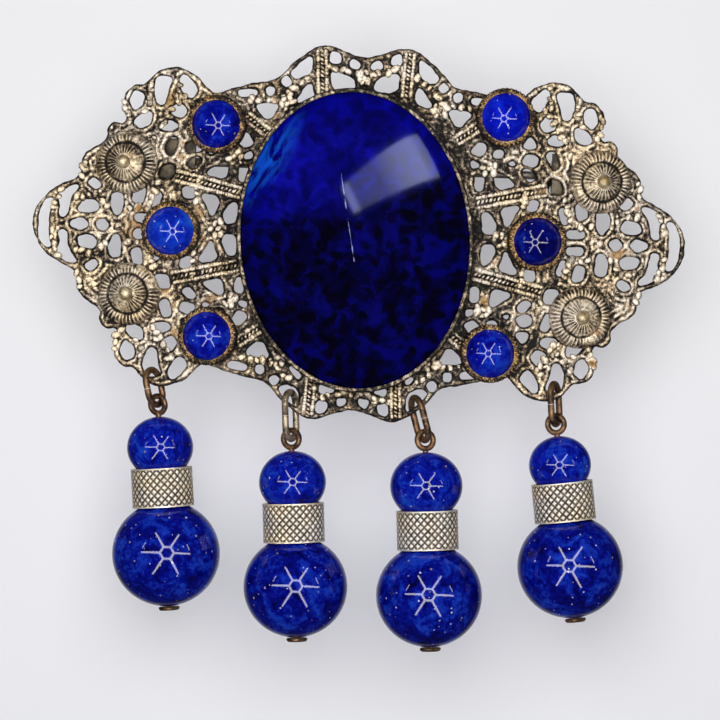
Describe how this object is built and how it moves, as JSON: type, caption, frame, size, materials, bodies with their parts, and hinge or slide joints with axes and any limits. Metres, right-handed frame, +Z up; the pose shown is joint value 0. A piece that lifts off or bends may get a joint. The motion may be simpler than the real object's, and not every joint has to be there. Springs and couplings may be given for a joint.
{
  "type": "brooch",
  "caption": "Bowed openwork brooch with an oval blue stone, small set stones, ribbed rosettes, hanging bead drops and a hinged pin with a turning catch.",
  "frame": {"origin": "middle of the pin's straight stem, behind the plate", "axes": "+X to the viewer's right along the pin, +Z up as worn, the front faces -Y"},
  "size_m": [0.0724, 0.0132, 0.0663],
  "materials": {
    "silvered_brass": "worn silver wash, dark in the recesses",
    "bezel_metal": "dull, worn silver wash",
    "centre_glass": "polished, mottled dark blue",
    "cup_brass": "aged brass, toothed lip",
    "cabochon_glass": "polished cobalt blue with flecks",
    "rosette_metal": "stamped, worn silver wash",
    "rivet_brass": "rubbed brass",
    "copper_wire": "aged copper brown wire",
    "bead_glass": "polished cobalt blue, mottled",
    "knurled_nickel": "nickel silver, diamond knurl",
    "finding_brass": "dull brass",
    "pin_steel": "drawn wire"
  },
  "bodies": {
    "brooch": {"filigree_plate": "silvered_brass", "centre_bezel": "bezel_metal", "centre_stone": "centre_glass", "cup_upper_left": "cup_brass", "cabochon_upper_left": "cabochon_glass", "cup_upper_right": "cup_brass", "cabochon_upper_right": "cabochon_glass", "cup_middle_left": "cup_brass", "cabochon_middle_left": "cabochon_glass", "cup_middle_right": "cup_brass", "cabochon_middle_right": "cabochon_glass", "cup_lower_left": "cup_brass", "cabochon_lower_left": "cabochon_glass", "cup_lower_right": "cup_brass", "cabochon_lower_right": "cabochon_glass", "rosette_upper_left": "rosette_metal", "rosette_rivet_upper_left": "rivet_brass", "rosette_upper_right": "rosette_metal", "rosette_rivet_upper_right": "rivet_brass", "rosette_lower_left": "rosette_metal", "rosette_rivet_lower_left": "rivet_brass", "rosette_lower_right": "rosette_metal", "rosette_rivet_lower_right": "rivet_brass", "hinge_bracket": "finding_brass", "hinge_rivet": "finding_brass", "catch_body": "finding_brass"},
    "pin": {"pin_stem": "pin_steel"},
    "lever": {"catch_lever": "finding_brass"},
    "ring_1": {"jump_ring_1": "copper_wire"},
    "drop_1": {"head_pin_1": "copper_wire"},
    "small_bead_1_body": {"small_bead_1": "bead_glass"},
    "knurled_tube_1_body": {"knurled_tube_1": "knurled_nickel"},
    "large_bead_1_body": {"large_bead_1": "bead_glass"},
    "ring_2": {"jump_ring_2": "copper_wire"},
    "drop_2": {"head_pin_2": "copper_wire"},
    "small_bead_2_body": {"small_bead_2": "bead_glass"},
    "knurled_tube_2_body": {"knurled_tube_2": "knurled_nickel"},
    "large_bead_2_body": {"large_bead_2": "bead_glass"},
    "ring_3": {"jump_ring_3": "copper_wire"},
    "drop_3": {"head_pin_3": "copper_wire"},
    "small_bead_3_body": {"small_bead_3": "bead_glass"},
    "knurled_tube_3_body": {"knurled_tube_3": "knurled_nickel"},
    "large_bead_3_body": {"large_bead_3": "bead_glass"},
    "ring_4": {"jump_ring_4": "copper_wire"},
    "drop_4": {"head_pin_4": "copper_wire"},
    "small_bead_4_body": {"small_bead_4": "bead_glass"},
    "knurled_tube_4_body": {"knurled_tube_4": "knurled_nickel"},
    "large_bead_4_body": {"large_bead_4": "bead_glass"}
  },
  "joints": [
    {"name": "pin_hinge", "type": "hinge", "parent": "brooch", "child": "pin", "pos_m": [-0.02195, 0, 0], "axis": [0, 0, 1], "range_deg": [0, 95]},
    {"name": "catch_turn", "type": "hinge", "parent": "brooch", "child": "lever", "pos_m": [0.02145, 0, 0], "axis": [-1, 0, 0], "range_deg": [0, 120]},
    {"name": "ring_swing_1", "type": "hinge", "parent": "brooch", "child": "ring_1", "pos_m": [-0.02315, -0.00269, -0.02435], "axis": [1, 0, 0], "range_deg": [-35, 35]},
    {"name": "drop_swing_1", "type": "hinge", "parent": "ring_1", "child": "drop_1", "pos_m": [-0.0224, -0.00266, -0.02709], "axis": [-0.5142, -0.848, -0.1282], "range_deg": [-25, 6]},
    {"name": "small_bead_spin_1", "type": "hinge", "parent": "drop_1", "child": "small_bead_1_body", "pos_m": [-0.0224, -0.00266, -0.02709], "axis": [0.0958, 0, -0.9954], "continuous": true},
    {"name": "knurled_tube_spin_1", "type": "hinge", "parent": "drop_1", "child": "knurled_tube_1_body", "pos_m": [-0.0224, -0.00266, -0.02709], "axis": [0.0958, 0, -0.9954], "continuous": true},
    {"name": "large_bead_spin_1", "type": "hinge", "parent": "drop_1", "child": "large_bead_1_body", "pos_m": [-0.0224, -0.00266, -0.02709], "axis": [0.0958, 0, -0.9954], "continuous": true},
    {"name": "ring_swing_2", "type": "hinge", "parent": "brooch", "child": "ring_2", "pos_m": [-0.00765, -0.00402, -0.02645], "axis": [1, 0, 0], "range_deg": [-35, 35]},
    {"name": "drop_swing_2", "type": "hinge", "parent": "ring_2", "child": "drop_2", "pos_m": [-0.00749, -0.00401, -0.03025], "axis": [-0.4216, -0.9063, -0.0295], "range_deg": [-7, 6]},
    {"name": "small_bead_spin_2", "type": "hinge", "parent": "drop_2", "child": "small_bead_2_body", "pos_m": [-0.00749, -0.00401, -0.03025], "axis": [0.068, 0, -0.9977], "continuous": true},
    {"name": "knurled_tube_spin_2", "type": "hinge", "parent": "drop_2", "child": "knurled_tube_2_body", "pos_m": [-0.00749, -0.00401, -0.03025], "axis": [0.068, 0, -0.9977], "continuous": true},
    {"name": "large_bead_spin_2", "type": "hinge", "parent": "drop_2", "child": "large_bead_2_body", "pos_m": [-0.00749, -0.00401, -0.03025], "axis": [0.068, 0, -0.9977], "continuous": true},
    {"name": "ring_swing_3", "type": "hinge", "parent": "brooch", "child": "ring_3", "pos_m": [0.00585, -0.00401, -0.0264], "axis": [1, 0, 0], "range_deg": [-35, 35]},
    {"name": "drop_swing_3", "type": "hinge", "parent": "ring_3", "child": "drop_3", "pos_m": [0.00726, -0.00401, -0.0298], "axis": [0.389, -0.9135, 0.1189], "range_deg": [-7, 7]},
    {"name": "small_bead_spin_3", "type": "hinge", "parent": "drop_3", "child": "small_bead_3_body", "pos_m": [0.00726, -0.00401, -0.0298], "axis": [0.0645, 0, -0.9979], "continuous": true},
    {"name": "knurled_tube_spin_3", "type": "hinge", "parent": "drop_3", "child": "knurled_tube_3_body", "pos_m": [0.00726, -0.00401, -0.0298], "axis": [0.0645, 0, -0.9979], "continuous": true},
    {"name": "large_bead_spin_3", "type": "hinge", "parent": "drop_3", "child": "large_bead_3_body", "pos_m": [0.00726, -0.00401, -0.0298], "axis": [0.0645, 0, -0.9979], "continuous": true},
    {"name": "ring_swing_4", "type": "hinge", "parent": "brooch", "child": "ring_4", "pos_m": [0.02125, -0.00269, -0.02435], "axis": [1, 0, 0], "range_deg": [-35, 35]},
    {"name": "drop_swing_4", "type": "hinge", "parent": "ring_4", "child": "drop_4", "pos_m": [0.02164, -0.00269, -0.02749], "axis": [-0.3732, -0.9272, -0.0326], "range_deg": [-11, 25]},
    {"name": "small_bead_spin_4", "type": "hinge", "parent": "drop_4", "child": "small_bead_4_body", "pos_m": [0.02164, -0.00269, -0.02749], "axis": [0.1392, 0, -0.9903], "continuous": true},
    {"name": "knurled_tube_spin_4", "type": "hinge", "parent": "drop_4", "child": "knurled_tube_4_body", "pos_m": [0.02164, -0.00269, -0.02749], "axis": [0.1392, 0, -0.9903], "continuous": true},
    {"name": "large_bead_spin_4", "type": "hinge", "parent": "drop_4", "child": "large_bead_4_body", "pos_m": [0.02164, -0.00269, -0.02749], "axis": [0.1392, 0, -0.9903], "continuous": true}
  ]
}
